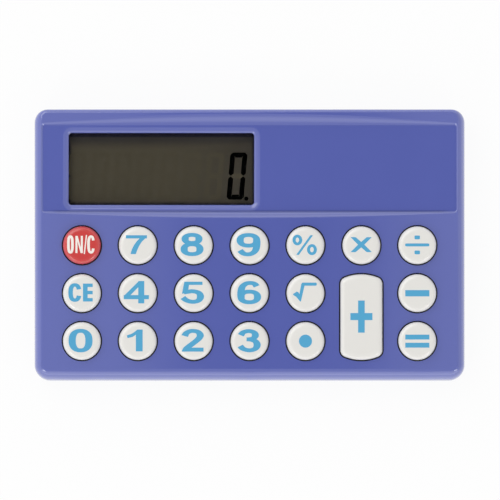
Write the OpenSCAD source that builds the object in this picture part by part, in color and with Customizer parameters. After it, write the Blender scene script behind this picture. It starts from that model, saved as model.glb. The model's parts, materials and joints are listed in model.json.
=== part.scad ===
// Pocket-size desk calculator: two moulded shells, twenty keys on a rubber dome mat,
// a liquid-crystal display behind a window, and one button cell behind a sliding door.
// Millimetres. The bench is z = 0, +X is the user's right, +Y is away from the user, +Z is up.

/* [Case] */
// Width of the case
case_w = 97.6; // [97.4:0.1:120]
// Depth of the case, front to rear
case_d = 61.6; // [61.6:0.1:80]
// Height of the crowned top over the bench, at the middle
case_h = 9.4; // [9.2:0.1:13]
// How much lower the crown is at the sides than at the middle
crown_h = 0.8; // [0.2:0.1:1.0]
// Corner radius at the front, seen from above
front_corner_r = 3.65; // [3.2:0.05:5]
// Corner radius at the rear, seen from above
rear_corner_r = 3.0; // [2.8:0.05:5]
// Rounding of the front top edge
front_edge_r = 2.8; // [1:0.1:3]
// Rounding of the side top edges
side_edge_r = 2.0; // [0.8:0.1:2.4]
// Rounding of the rear top edge
rear_edge_r = 0.9; // [0.5:0.1:2]
// How far down the front rounding reaches
front_edge_drop = 4.8; // [2:0.1:4.9]
// How far down the side rounding reaches
side_edge_drop = 2.8; // [1:0.1:3]
// How far down the rear rounding reaches
rear_edge_drop = 1.0; // [0.5:0.1:3]
// Rounding of the bottom edge
base_edge_r = 2.2; // [0.8:0.1:2.4]
// Height of the parting line between the shells
parting_h = 3.6; // [3.4:0.1:4.4]
// Wall over the keypad
skin_t = 1.4; // [1:0.1:1.6]
// Side walls of both shells
side_t = 1.6; // [1.5:0.1:2]
// Floor of the bottom shell
floor_t = 1.2; // [1.2:0.1:1.8]
// Height of the lip that locates the top shell
lip_h = 0.8; // [0.5:0.1:1]
// Thickness of that lip
lip_t = 0.7; // [0.5:0.05:0.8]
// Step of the lower shell at the parting line
parting_step = 0.15; // [0.05:0.05:0.3]

/* [Display] */
// Depth of the display panel under the crown, at the middle
panel_depth = 1.0; // [0.9:0.1:1.2]
// From the rear of the case to the rear foot of the panel's wall
panel_from_rear = 3.65; // [3.4:0.05:4.4]
// Depth of the panel, front to rear
panel_len = 19.45; // [19:0.01:20.2]
// From each side of the case to the foot of the panel's end wall
panel_end = 1.9; // [1.8:0.1:3]
// Corner radius of the panel's floor
panel_corner_r = 0.5; // [0.4:0.1:3]
// Wall under the panel
panel_t = 1.3; // [1:0.1:1.5]
// Run of the panel's rear wall for each millimetre of its height
rear_slope = 2.8; // [0.5:0.05:2.9]
// Run of the panel's front wall for each millimetre of its height
front_slope = 1.6; // [0.4:0.05:2.2]
// Run of the panel's end walls for each millimetre of their height
end_slope = 1.5; // [0.5:0.1:5]
// Width of the window opening
window_w = 42.0; // [36:0.1:44]
// Depth of the window opening
window_d = 16.25; // [14:0.05:16.5]
// From the left side of the case to the middle of the window
window_left = 28.8; // [28:0.1:30]
// From the rear foot of the panel's wall to the window opening
window_from_rear = 1.75; // [1.6:0.05:2.2]
// Corner radius of the window opening
window_r = 0.7; // [0.3:0.05:2]
// Width of the rounded rim round the window
rim_w = 1.4; // [0.6:0.05:1.4]
// Drop of that rim
rim_drop = 0.7; // [0.3:0.05:0.9]
// Thickness of the clear window
lens_t = 0.9; // [0.6:0.05:1]
// Overlap of the clear window behind its opening
lens_lap = 1.2; // [0.6:0.05:1.3]
// Overlap of the display glass round the opening
glass_lap = 1.4; // [1.3:0.05:1.6]
// Overlap of the glass behind the rear edge of the opening
glass_rear_lap = 1.3; // [1.3:0.05:1.6]
// Contact ledge along the front of the display glass
ledge_d = 1.9; // [1.6:0.05:1.9]
// Thickness of each display glass
glass_t = 0.7; // [0.4:0.05:0.8]
// Thickness of each polariser
film_t = 0.2; // [0.1:0.05:0.3]
// Width of the strip connector
zebra_w = 1.4; // [1:0.05:1.5]

/* [Keys] */
// Spacing of the key columns
key_pitch_x = 12.67; // [12.4:0.01:12.75]
// Spacing of the key rows
key_pitch_y = 10.85; // [10.7:0.01:10.9]
// From the front of the case to the front row of keys
keys_from_front = 9.08; // [8.9:0.01:9.1]
// Radius of a round key
key_r = 4.3; // [3.8:0.05:4.4]
// Half the width of the tall key
tall_half_w = 4.77; // [4.2:0.01:4.8]
// Bow radius of the tall key's ends
tall_bow_r = 10; // [8:0.5:20]
// Shoulder radius of the tall key
tall_shoulder_r = 1.6; // [1.2:0.1:2.4]
// Gap round each key
key_gap = 0.3; // [0.15:0.05:0.3]
// Height of the keys above the crown, at the middle
key_rise = 0.9; // [0.9:0.05:2]
// Rounding of the key's top edge
key_edge_r = 1.1; // [0.3:0.05:1.1]
// Travel of a key
key_travel = 0.8; // [0.4:0.05:0.8]
// Wall of a key cap
key_wall = 0.9; // [0.6:0.05:1]
// Thickness of a key's top
key_top_t = 1.1; // [1:0.05:1.6]
// Radius of the post that presses the dome
post_r = 1.7; // [1.2:0.05:2]
// Width of the flange that keeps the key in
flange_w = 0.8; // [0.5:0.05:0.8]
// Thickness of that flange
flange_t = 0.9; // [0.6:0.05:1]
// Wall of the wells that guide the keys
well_wall = 0.6; // [0.4:0.05:0.6]
// Width of the rib that stops a key from turning
guide_w = 0.8; // [0.6:0.05:1.2]

/* [Keypad mat] */
// Thickness of the mat between the domes
mat_t = 0.6; // [0.4:0.05:0.8]
// Radius of a dome at the mat
dome_r = 3.3; // [3:0.05:3.4]
// Wall of a dome
dome_wall = 0.5; // [0.3:0.05:0.6]
// Thickness of the dome's solid top
plunger_t = 0.85; // [0.6:0.05:1]
// Radius of a carbon pill
pill_r = 1.5; // [1:0.05:1.6]
// Thickness of a carbon pill
pill_t = 0.5; // [0.3:0.05:0.6]

/* [Circuit board] */
// Thickness of the circuit board
board_t = 1.0; // [0.6:0.1:1.2]
// Height of the ribs that carry the board
board_rib_h = 0.4; // [0.3:0.05:0.8]
// Radius of the resin blob over the chip
blob_r = 4.5; // [3:0.1:5]
// Height of that blob
blob_h = 1.3; // [0.8:0.05:1.8]
// Length of each chip capacitor
capacitor_l = 2.0; // [1:0.1:3.2]
// Width of each chip capacitor
capacitor_w = 1.25; // [0.5:0.05:1.6]

/* [Battery] */
// Radius of the button cell
cell_r = 5.8; // [5.5:0.05:5.8]
// Thickness of the button cell
cell_t = 3.05; // [2.6:0.05:3.1]
// From the right side of the case to the middle of the cell
cell_right = 17; // [17:0.1:18]
// From the rear of the case to the middle of the cell
cell_from_rear = 12.95; // [12:0.05:13]
// Width of the battery door
door_w = 15; // [14.5:0.1:15]
// Width of the tongues along the door
tongue_w = 0.7; // [0.4:0.05:0.8]
// Thickness of those tongues
tongue_t = 0.5; // [0.3:0.05:0.5]
// Height of the door's rear wall over the bench
door_wall_h = 2.8; // [2:0.1:2.9]
// Thickness of the contact strips
strip_t = 0.2; // [0.15:0.05:0.3]
// Width of the contact strips
strip_w = 3.6; // [2:0.1:4]

/* [Fasteners and feet] */
// Radius of a case screw's shank
screw_r = 0.7; // [0.6:0.05:0.8]
// Radius of a screw head
head_r = 1.5; // [1.2:0.05:1.6]
// Height of a screw head
head_h = 0.8; // [0.6:0.05:0.9]
// Length of a screw under its head
screw_l = 4.6; // [3.5:0.1:5]
// Radius of the screw bosses
boss_r = 2.0; // [1.6:0.05:2]
// From the side of the case to the corner screws
screw_from_side = 4.3; // [4:0.05:4.4]
// From the front or rear of the case to the corner screws
screw_from_end = 3.8; // [3.7:0.05:4.2]
// Height of the feet under the case
foot_h = 0.4; // [0.3:0.05:1]
// Radius of a foot
foot_r = 2.2; // [1.6:0.05:2.3]
// Depth of the recess that holds a foot
foot_recess = 0.4; // [0.2:0.05:0.6]
// From the side of the case to the middle of a foot
foot_from_side = 6.0; // [5.6:0.05:6]
// From the front or rear of the case to the middle of a foot
foot_from_end = 10.5; // [9:0.1:14]

/* [Hidden] */
$fn = 64;
// Steps of a quarter-round in plan and in section, strips along the crown, steps up a panel wall
plan_steps = 8;
edge_steps = 8;
crown_strips = 16;
wall_steps = 6;
// Clearances
fit_gap = 0.05;        // between pieces that locate each other
slide_gap = 0.12;      // round the battery door
seat_gap = 0.05;       // between a key's flange and its well
lcd_gap = 0.2;         // round the display glass
edge_gap = 0.3;        // between the board or the mat and what they are cut clear of
guide_gap = 0.15;      // each side of a guide rib in its groove
over = 0.3;            // how far ribs and bosses run into the wall that carries them
crown_over = 0.02;     // how far the panel's walls run past the crown that they end on
far = 20;              // longer than any cut needs

// Small sizes of the moulded and pressed pieces
rib_t = 0.8;           // ribs and gussets of the shells
guide_h = 1.5;         // height of a guide rib
guide_reach = 0.7;     // how far it stands into the hole of its key
key_rib_t = 0.6;       // cross ribs inside a key
key_rib_up = 0.4;      // from a key's flange up to its cross ribs
bay_wall = 1.6;        // walls of the battery bay
pad_h = 1.0;           // pads under the screw bosses
pad_lap = 0.6;         // how much wider than its boss a pad is
head_sink = 0.2;       // how far a screw head sits in its recess
head_gap = 0.25;       // round a screw head
cross_w = 0.4;         // recess of a screw head: width, length and depth
cross_l = 2.0;
cross_d = 0.5;
grip_pitch = 1.4;      // grip grooves of the battery door: pitch, width, length and depth
grip_w = 0.7;
grip_l = 7;
grip_d = 0.3;
foot_edge = 0.3;       // rounding of a foot
mat_end = 3.8;         // from the side walls to the ends of the mat
mat_front = 1.6;       // mat beyond its domes at the front and the rear
mat_rear = 1.4;
dome_taper = 1.1;      // how much smaller a dome is at its top
film_inset = 1.0;      // display films inside the ends of the glass
foam_inset = 3.0;      // foam inside the ends of the glass
capacitor_h = 0.8;
capacitor_pitch = 4.0;
chip_gap = 1.5;        // between the resin blob and the capacitors
cell_edge = 0.25;      // button cell: rounding of the can, ledge round the cap and height of the cap
cell_ledge = 0.9;
cell_cap_h = 0.3;
contact_over = 0.6;    // how far the positive strip passes over the board
contact_foot = 2.0;    // length of a strip's foot on the board
contact_clear = 0.8;   // from the bay's wall to the positive strip

// Heights, from the bench up
base_z = foot_h;
floor_top = base_z + floor_t;
board_z = floor_top + board_rib_h;
board_top = board_z + board_t;
pill_z = board_top + key_travel + fit_gap;
pill_top = pill_z + pill_t;
dome_top = pill_top + plunger_t;
flange_top = dome_top + flange_t;
well_z = flange_top + seat_gap;
key_top = case_h + key_rise;
ceiling_z = case_h - skin_t;
panel_z = case_h - panel_depth;
panel_under = panel_z - panel_t;
lens_z = panel_under - lens_t;
front_glass_top = lens_z - film_t - fit_gap * 2;
front_glass_z = front_glass_top - glass_t;
rear_glass_z = front_glass_z - glass_t;
reflector_z = rear_glass_z - film_t;

// Places in plan
half_w = case_w / 2;
half_d = case_d / 2;
panel_rear_y = half_d - panel_from_rear;
panel_front_y = panel_rear_y - panel_len;
panel_half_w = half_w - panel_end;
window_rear_y = panel_rear_y - window_from_rear;
window_front_y = window_rear_y - window_d;
window_x = -half_w + window_left;
window_y = (window_rear_y + window_front_y) / 2;
glass_w = window_w + 2 * glass_lap;
glass_rear_y = window_rear_y + glass_rear_lap - glass_lap / 2;
seal_front_y = window_front_y - glass_lap / 2 + lcd_gap;
glass_front_y = seal_front_y - ledge_d;
step_y = glass_front_y - lcd_gap - rib_t;
cell_x = half_w - cell_right;
cell_y = half_d - cell_from_rear;
cell_z = floor_top + fit_gap;
cell_top = cell_z + cell_t;
inner_rear_y = half_d - side_t;

// Keys: name, column from the left, row from the rear. The tall key spans rows 1 and 2.
KEYS = [
    ["on_clear", 0, 0], ["7", 1, 0], ["8", 2, 0], ["9", 3, 0], ["percent", 4, 0],
    ["multiply", 5, 0], ["divide", 6, 0],
    ["clear_entry", 0, 1], ["4", 1, 1], ["5", 2, 1], ["6", 3, 1], ["root", 4, 1],
    ["plus", 5, 1.5], ["minus", 6, 1],
    ["0", 0, 2], ["1", 1, 2], ["2", 2, 2], ["3", 3, 2], ["point", 4, 2], ["equals", 6, 2]
];
function key_at(k) = [
    (k[1] - 3) * key_pitch_x,
    -half_d + keys_from_front + (2 - k[2]) * key_pitch_y
];
function is_tall(k) = k[0] == "plus";
tall_half_l = key_pitch_y / 2 + key_r;
hole_r = key_r + key_gap;
flange_r = key_r + flange_w;
guide_top = well_z + guide_h;

// Screws: four at the corners and two between the keys
screw_x = half_w - screw_from_side;
SCREWS = [
    for (sx = [-1, 1], sy = [-1, 1]) [sx * screw_x, sy * (half_d - screw_from_end)],
    for (sx = [-1, 1]) [
        sx * 1.5 * key_pitch_x,
        -half_d + keys_from_front + 1.5 * key_pitch_y
    ]
];
pad_r = boss_r + pad_lap;
head_z = base_z + head_h + head_sink;
boss_z = floor_top + pad_h + fit_gap;

// Battery bay
door_front_y = cell_y - cell_r - bay_wall;
door_half_w = door_w / 2;
tongue_z = floor_top - fit_gap - tongue_t;
bay_top = board_top - 2 * fit_gap;
bay_half_w = door_half_w + bay_wall;
bay_front_y = door_front_y - slide_gap - bay_wall;

// ---- Outlines: lists of [x, y, normal x, normal y] ----

// Points along an arc from angle a0 to a1, leaving out the last if open is 1
function arc(c, r, a0, a1, steps, open = 0) = [
    for (i = [0 : steps - open])
        let (a = a0 + (a1 - a0) * i / steps)
        [c.x + r * cos(a), c.y + r * sin(a), cos(a), sin(a)]
];

// Front edge of a rounded rectangle from left to right. side is -1 at the front and 1 at the rear.
function edge_chain(w, y, r, side, strips) = concat(
    arc([-w / 2 + r, y - side * r], r, 180, 180 - side * 90, plan_steps),
    [for (i = [1 : 1 : strips - 1]) [(-w / 2 + r) + (w - 2 * r) * i / strips, y, 0, side]],
    arc([w / 2 - r, y - side * r], r, side * 90, 0, plan_steps)
);

// Outline of the case: the front chain left to right, then the rear chain right to left
function reversed(list) = [for (i = [len(list) - 1 : -1 : 0]) list[i]];
function case_outline(strips) = concat(
    edge_chain(case_w, -half_d, front_corner_r, -1, strips),
    reversed(edge_chain(case_w, half_d, rear_corner_r, 1, strips))
);

function rectangle_outline(w, d, r) = concat(
    edge_chain(w, -d / 2, r, -1, 1),
    reversed(edge_chain(w, d / 2, r, 1, 1))
);

// End of the tall key: two shoulders and a bowed end between them
function tall_end() =
    let (
        s = tall_shoulder_r,
        sx = tall_half_w - s,
        bow_y = tall_half_l - tall_bow_r,
        sy = bow_y + sqrt(pow(tall_bow_r - s, 2) - sx * sx),
        turn = asin(sx / (tall_bow_r - s))
    )
    concat(
        arc([-sx, -sy], s, 180, 270 - turn, plan_steps, 1),
        arc([0, -bow_y], tall_bow_r, 270 - turn, 270 + turn, plan_steps, 1),
        arc([sx, -sy], s, 270 + turn, 360, plan_steps)
    );
function flipped(chain) = [for (p = chain) [p.x, -p.y, p[2], -p[3]]];
function tall_outline() = concat(tall_end(), reversed(flipped(tall_end())));

// The outline moved in along its normals
module inset_outline(outline, inset) {
    polygon([for (p = outline) [p.x - p[2] * inset, p.y - p[3] * inset]]);
}

// ---- Lofts ----

// Closed solid through rings of equally many points, from the bottom ring up. Each ring runs
// along its front edge from left to right and back along its rear edge. Its ends are closed by
// a fan in each rounded corner and a ladder between them.
module loft(rings) {
    n = len(rings[0]);
    last = len(rings) - 1;
    left = plan_steps;
    right = n / 2 - 1 - plan_steps;
    columns = concat([0], [for (i = [left : right]) i], [n / 2 - 1]);
    walls = [
        for (k = [0 : last - 1], i = [0 : n - 1])
            let (j = (i + 1) % n, a = k * n, b = a + n)
            each [[a + i, b + i, b + j], [a + i, b + j, a + j]]
    ];
    ladder = [
        for (i = [0 : len(columns) - 2])
            let (a = columns[i], b = columns[i + 1])
            each [[a, b, n - 1 - b], [a, n - 1 - b, n - 1 - a]]
    ];
    fans = concat(
        [for (i = [0 : left - 2]) [i, i + 1, left]],
        [for (i = [right + 1 : n / 2 - 2]) [i, i + 1, right]]
    );
    rear_fans = [for (f = fans) [n - 1 - f[1], n - 1 - f[0], n - 1 - f[2]]];
    bottom = concat(ladder, fans, rear_fans);
    top = [for (f = bottom) [f[0], f[2], f[1]] + last * n * [1, 1, 1]];
    polyhedron(points = [for (r = rings) each r], faces = concat(walls, bottom, top));
}

// Height of the crowned top over a point x
function crown_z(x) = case_h - crown_h * pow(x / half_w, 2);

// A measure where the wall faces along n, from those at the sides, the front and the rear
function by_side(n, side, front, rear) = side * n.x * n.x + (n.y < 0 ? front : rear) * n.y * n.y;

// Upper shell's outer form: straight wall, rounded edge, crowned top
module top_form() {
    outline = case_outline(crown_strips);
    loft(concat(
        [[for (p = outline) [p.x, p.y, parting_h]]],
        [for (k = [0 : edge_steps])
            let (a = 90 * k / edge_steps)
            [for (p = outline)
                let (
                    n = [p[2], p[3]],
                    in = by_side(n, side_edge_r, front_edge_r, rear_edge_r) * (1 - cos(a)),
                    drop = by_side(n, side_edge_drop, front_edge_drop, rear_edge_drop) * (1 - sin(a)),
                    x = p.x - n.x * in
                )
                [x, p.y - n.y * in, crown_z(x) - drop]]]
    ));
}

// Lower shell's outer form: rounded bottom edge and straight wall
module base_form() {
    outline = case_outline(1);
    loft(concat(
        [for (k = [0 : edge_steps])
            let (a = 90 * k / edge_steps, in = parting_step + base_edge_r * (1 - sin(a)))
            [for (p = outline)
                [p.x - p[2] * in, p.y - p[3] * in, base_z + base_edge_r * (1 - cos(a))]]],
        [[for (p = outline)
            [p.x - p[2] * parting_step, p.y - p[3] * parting_step, parting_h]]]
    ));
}

// Upright prism of an outline between two heights
module wall_prism(outline, inset, z0, z1) {
    translate([0, 0, z0]) linear_extrude(z1 - z0) inset_outline(outline, inset);
}

module block(x0, x1, y0, y1, z0, z1) {
    translate([x0, y0, z0]) cube([x1 - x0, y1 - y0, z1 - z0]);
}

module post(at, r, z0, z1) {
    translate([at.x, at.y, z0]) cylinder(h = z1 - z0, r = r);
}

// ---- Upper shell ----

// Room inside: crowned over the keypad, flat under the display panel
module top_room() {
    under = [
        for (i = [0 : crown_strips])
            let (x = -half_w + case_w * i / crown_strips) [x, crown_z(x) - skin_t]
    ];
    intersection() {
        wall_prism(case_outline(1), side_t, parting_h - 1, case_h);
        union() {
            translate([0, step_y, 0]) rotate([90, 0, 0]) linear_extrude(case_d)
                polygon(concat([[half_w, 0], [-half_w, 0]], under));
            block(-half_w, half_w, step_y - fit_gap, half_d, 0, panel_under);
        }
    }
    wall_prism(case_outline(1), side_t - lip_t - fit_gap, parting_h - 1, parting_h + lip_h + fit_gap);
}

// Recess of the display panel: each wall is a smooth step from the floor up to the crown
module panel_recess() {
    outline = concat(
        edge_chain(2 * panel_half_w, panel_front_y, panel_corner_r, -1, crown_strips),
        reversed(edge_chain(2 * panel_half_w, panel_rear_y, panel_corner_r, 1, crown_strips))
    );
    function ring(t, z = undef) = [
        for (p = outline)
            let (
                n = [p[2], p[3]],
                h = crown_z(p.x) - panel_z + crown_over,
                out = by_side(n, end_slope, front_slope, rear_slope) * h * t
            )
            [p.x + n.x * out, p.y + n.y * out, is_undef(z) ? panel_z + h * t * t * (3 - 2 * t) : z]
    ];
    loft(concat([for (k = [0 : wall_steps]) ring(k / wall_steps)], [ring(1, case_h + 1)]));
}

// Window opening with its rounded rim
module window_opening() {
    outline = rectangle_outline(window_w, window_d, window_r);
    steps = 4;
    function ring(out, z) = [for (p = outline) [p.x + p[2] * out, p.y + p[3] * out, z]];
    translate([window_x, window_y, 0]) loft(concat(
        [ring(0, panel_under - 1)],
        [for (k = [0 : steps])
            let (a = 90 * k / steps)
            ring(rim_w * (1 - cos(a)), panel_z - rim_drop * (1 - sin(a)))],
        [ring(rim_w, panel_z + 1)]
    ));
}

module key_shape(k, grow, z0, z1) {
    if (is_tall(k)) wall_prism(tall_outline(), -grow, z0, z1);
    else post([0, 0], key_r + grow, z0, z1);
}

// Half length of a key towards the rear
function key_half_l(k) = is_tall(k) ? tall_half_l : key_r;

// Gussets that tie the corner bosses to the side walls
module boss_gussets() {
    for (s = [0 : 3])
        let (p = SCREWS[s], side = sign(p.x))
        translate([p.x, p.y, 0])
        block(min(0, side * (screw_from_side - side_t + over)),
              max(0, side * (screw_from_side - side_t + over)),
              -rib_t / 2, rib_t / 2, parting_h + lip_h + edge_gap, panel_under + over);
}

module lcd_ribs() {
    w = glass_w + 2 * lcd_gap;
    y0 = glass_front_y - lcd_gap;
    y1 = glass_rear_y + lcd_gap;
    translate([window_x, 0, 0]) difference() {
        block(-w / 2 - rib_t, w / 2 + rib_t, y0 - rib_t, y1 + rib_t,
              front_glass_z, panel_under + over);
        block(-w / 2, w / 2, y0, y1, front_glass_z - 1, far);
    }
}

module top_case() {
    color([0.36, 0.39, 0.69]) difference() {
        union() {
            difference() {
                top_form();
                top_room();
            }
            for (k = KEYS)
                translate(key_at(k)) key_shape(k, key_gap + well_wall, well_z, ceiling_z + over);
            for (p = SCREWS)
                post(p, boss_r, boss_z, (p.y > step_y ? panel_under : ceiling_z) + over);
            boss_gussets();
            lcd_ribs();
        }
        panel_recess();
        window_opening();
        for (k = KEYS)
            translate(key_at(k)) difference() {
                key_shape(k, key_gap, 0, far);
                translate([0, key_half_l(k) + key_gap, 0])
                    block(-guide_w / 2, guide_w / 2, -guide_reach, over, well_z, guide_top);
            }
        for (p = SCREWS)
            post(p, screw_r + fit_gap, 0, boss_z + screw_l);
    }
}

// ---- Lower shell ----

module base_ribs() {
    rib = rib_t / 2;
    for (x = [-3, -2, -1, 0, 1, 2, 3] * key_pitch_x)
        block(x - rib, x + rib, -inner_rear_y - over, bay_front_y - rib_t, floor_top - over, board_z);
    for (y = [-2, -1, 0, 1] * key_pitch_y)
        block(-half_w + side_t - over, half_w - side_t + over, y - rib, y + rib,
              floor_top - over, board_z);
}

module battery_bay_walls() {
    difference() {
        block(cell_x - bay_half_w, cell_x + bay_half_w, bay_front_y, inner_rear_y + over,
              floor_top - over, bay_top);
        block(cell_x - door_half_w - slide_gap, cell_x + door_half_w + slide_gap,
              door_front_y - slide_gap, far * 2, 0, far);
    }
}

// Way for the door: its plate, its tongues and its rear wall
module door_way() {
    g = slide_gap;
    block(cell_x - door_half_w - g, cell_x + door_half_w + g,
          door_front_y - g, far * 2, 0, floor_top + fit_gap);
    block(cell_x - door_half_w - tongue_w - g, cell_x + door_half_w + tongue_w + g,
          door_front_y - g, far * 2, tongue_z - fit_gap, floor_top);
    block(cell_x - door_half_w - tongue_w - g, cell_x + door_half_w + tongue_w + g,
          inner_rear_y - g, far * 2, 0, door_wall_h + g);
}

module bottom_case() {
    color([0.32, 0.35, 0.63]) difference() {
        union() {
            difference() {
                base_form();
                wall_prism(case_outline(1), side_t, floor_top, far);
            }
            difference() {
                wall_prism(case_outline(1), side_t - lip_t, parting_h - over, parting_h + lip_h);
                wall_prism(case_outline(1), side_t, 0, far);
            }
            base_ribs();
            battery_bay_walls();
            for (p = SCREWS)
                post(p, pad_r, floor_top - over, floor_top + pad_h);
        }
        door_way();
        for (p = SCREWS) {
            post(p, screw_r + guide_gap, 0, far);
            post(p, head_r + head_gap, 0, head_z);
        }
        for (p = foot_places())
            post(p, foot_r + fit_gap, 0, base_z + foot_recess);
    }
}

// Door: plate and rear wall cut from the shell's own form, with a tongue along each side
module battery_door() {
    grip_y = (door_front_y + inner_rear_y) / 2;
    color([0.32, 0.35, 0.63]) difference() {
        union() {
            intersection() {
                base_form();
                union() {
                    block(cell_x - door_half_w, cell_x + door_half_w,
                          door_front_y, half_d, 0, floor_top);
                    block(cell_x - door_half_w - tongue_w, cell_x + door_half_w + tongue_w,
                          inner_rear_y, half_d, 0, door_wall_h);
                }
            }
            block(cell_x - door_half_w - tongue_w, cell_x + door_half_w + tongue_w,
                  door_front_y, inner_rear_y + over, tongue_z, tongue_z + tongue_t);
        }
        for (i = [-2 : 2])
            block(cell_x - grip_l / 2, cell_x + grip_l / 2, grip_y + i * grip_pitch - grip_w / 2,
                  grip_y + i * grip_pitch + grip_w / 2, 0, base_z + grip_d);
    }
}

function foot_places() = [
    for (sx = [-1, 1], sy = [-1, 1]) [sx * (half_w - foot_from_side), sy * (half_d - foot_from_end)]
];

// Foot with a rounded lower edge
module rubber_feet() {
    edge = min(foot_edge, foot_h);
    color([0.12, 0.12, 0.13]) for (p = foot_places())
        translate([p.x, p.y, 0]) rotate_extrude()
            polygon(concat(
                [[0, 0]],
                [for (a = arc([foot_r - edge, edge], edge, -90, 0, 4)) [a.x, a.y]],
                [[foot_r, base_z + foot_recess], [0, base_z + foot_recess]]
            ));
}

// Pan-head screw with a cross recess
module case_screws() {
    color([0.7, 0.71, 0.73]) for (p = SCREWS)
        translate([p.x, p.y, 0]) difference() {
            union() {
                post([0, 0], head_r, head_z - head_h, head_z);
                post([0, 0], screw_r, head_z - over, head_z + screw_l);
            }
            for (a = [0, 90])
                rotate(a) block(-cross_l / 2, cross_l / 2, -cross_w / 2, cross_w / 2,
                                0, head_z - head_h + cross_d);
        }
}

// ---- Display ----

module lcd_plate(w, y0, y1, z, t) {
    block(window_x - w / 2, window_x + w / 2, y0, y1, z, z + t);
}

module display_window() {
    color([0.6, 0.62, 0.6, 0.5])
        lcd_plate(window_w + 2 * lens_lap, window_front_y - lens_lap, window_rear_y + lens_lap / 2,
                  lens_z, lens_t);
}

module lcd_front_polariser() {
    color([0.30, 0.29, 0.24])
        lcd_plate(glass_w - 2 * film_inset, seal_front_y + lcd_gap, glass_rear_y - lcd_gap,
                  front_glass_top, film_t);
}

module lcd_front_glass() {
    color([0.5, 0.55, 0.5]) lcd_plate(glass_w, glass_front_y, glass_rear_y, front_glass_z, glass_t);
}

module lcd_rear_glass() {
    color([0.5, 0.55, 0.5]) lcd_plate(glass_w, seal_front_y, glass_rear_y, rear_glass_z, glass_t);
}

module lcd_reflector() {
    color([0.6, 0.6, 0.55])
        lcd_plate(glass_w - 2 * film_inset, seal_front_y + lcd_gap, glass_rear_y - lcd_gap,
                  reflector_z, film_t);
}

module lcd_foam_pad() {
    color([0.2, 0.2, 0.2])
        lcd_plate(glass_w - 2 * foam_inset, seal_front_y + foam_inset, glass_rear_y - foam_inset,
                  board_top, reflector_z - board_top);
}

// Strip of conducting and insulating rubber from the board to the glass ledge
module zebra_connector() {
    mid = (glass_front_y + seal_front_y) / 2;
    color([0.75, 0.6, 0.6])
        lcd_plate(glass_w - foam_inset, mid - zebra_w / 2, mid + zebra_w / 2, board_top, front_glass_z - board_top);
}

// ---- Board ----

module circuit_board() {
    edge = side_t + edge_gap + lcd_gap;
    bay = bay_half_w + edge_gap;
    color([0.16, 0.35, 0.2]) difference() {
        wall_prism(case_outline(1), edge, board_z, board_top);
        block(cell_x - bay, cell_x + bay, bay_front_y - edge_gap, half_d, 0, far);
        for (p = SCREWS)
            post(p, pad_r + edge_gap, 0, far);
    }
}

// Middle of the resin blob: half way between the foam and the foot of the positive strip
blob_x = (window_x + glass_w / 2 - foam_inset + cell_x - bay_half_w - contact_clear - contact_foot) / 2;

// Resin blob: a turned spherical cap
module chip_blob() {
    sphere_r = (blob_r * blob_r + blob_h * blob_h) / (2 * blob_h);
    turn = asin(blob_r / sphere_r);
    rim = arc([0, blob_h - sphere_r], sphere_r, 90 - turn, 90, 8);
    color([0.08, 0.08, 0.08]) translate([blob_x, cell_y, board_top])
        rotate_extrude() polygon(concat([[0, 0]], [for (i = [0 : 7]) [rim[i].x, rim[i].y]], [[0, blob_h]]));
}

module capacitors() {
    color([0.7, 0.6, 0.45]) for (i = [-1 : 1])
        translate([blob_x + i * capacitor_pitch, cell_y - blob_r - chip_gap, 0])
            block(-capacitor_l / 2, capacitor_l / 2, -capacitor_w, 0, board_top, board_top + capacitor_h);
}

// ---- Keypad ----

module keypad_mat() {
    edge_x = half_w - side_t - mat_end;
    front_y = -half_d + keys_from_front - dome_r - mat_front;
    rear_y = -half_d + keys_from_front + 2 * key_pitch_y + dome_r + mat_rear;
    mat_top = board_top + mat_t;
    top_r = dome_r - dome_taper;
    color([0.62, 0.63, 0.62]) difference() {
        union() {
            block(-edge_x, edge_x, front_y, rear_y, board_top, mat_top);
            for (k = KEYS)
                translate(concat(key_at(k), mat_top - fit_gap))
                    cylinder(h = dome_top - mat_top + fit_gap, r1 = dome_r, r2 = top_r);
        }
        for (k = KEYS)
            translate(concat(key_at(k), board_top - 1)) {
                cylinder(h = 1 + mat_t, r = dome_r - dome_wall);
                translate([0, 0, 1 + mat_t - 0.01])
                    cylinder(h = pill_top - mat_top + 0.01, r1 = dome_r - dome_wall, r2 = top_r - dome_wall);
            }
        for (p = SCREWS)
            post(p, boss_r + edge_gap, 0, far);
    }
}

// Round cap: a turned profile with a rounded top edge, hollow from below
module round_cap() {
    e = key_edge_r;
    rotate_extrude() polygon(concat(
        [[key_r - key_wall, dome_top], [flange_r, dome_top], [flange_r, flange_top], [key_r, flange_top]],
        [for (p = arc([key_r - e, key_top - e], e, 0, 90, edge_steps)) [p.x, p.y]],
        [[0, key_top], [0, key_top - key_top_t], [key_r - key_wall, key_top - key_top_t]]
    ));
}

// Tall cap: the same section carried round the tall outline
module tall_cap() {
    outline = tall_outline();
    difference() {
        union() {
            loft(concat(
                [[for (p = outline) [p.x, p.y, dome_top]]],
                [for (k = [0 : edge_steps])
                    let (a = 90 * k / edge_steps, in = key_edge_r * (1 - cos(a)))
                    [for (p = outline)
                        [p.x - p[2] * in, p.y - p[3] * in, key_top - key_edge_r * (1 - sin(a))]]]
            ));
            wall_prism(outline, -flange_w, dome_top, flange_top);
        }
        wall_prism(outline, key_wall, 0, key_top - key_top_t);
    }
}

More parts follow.
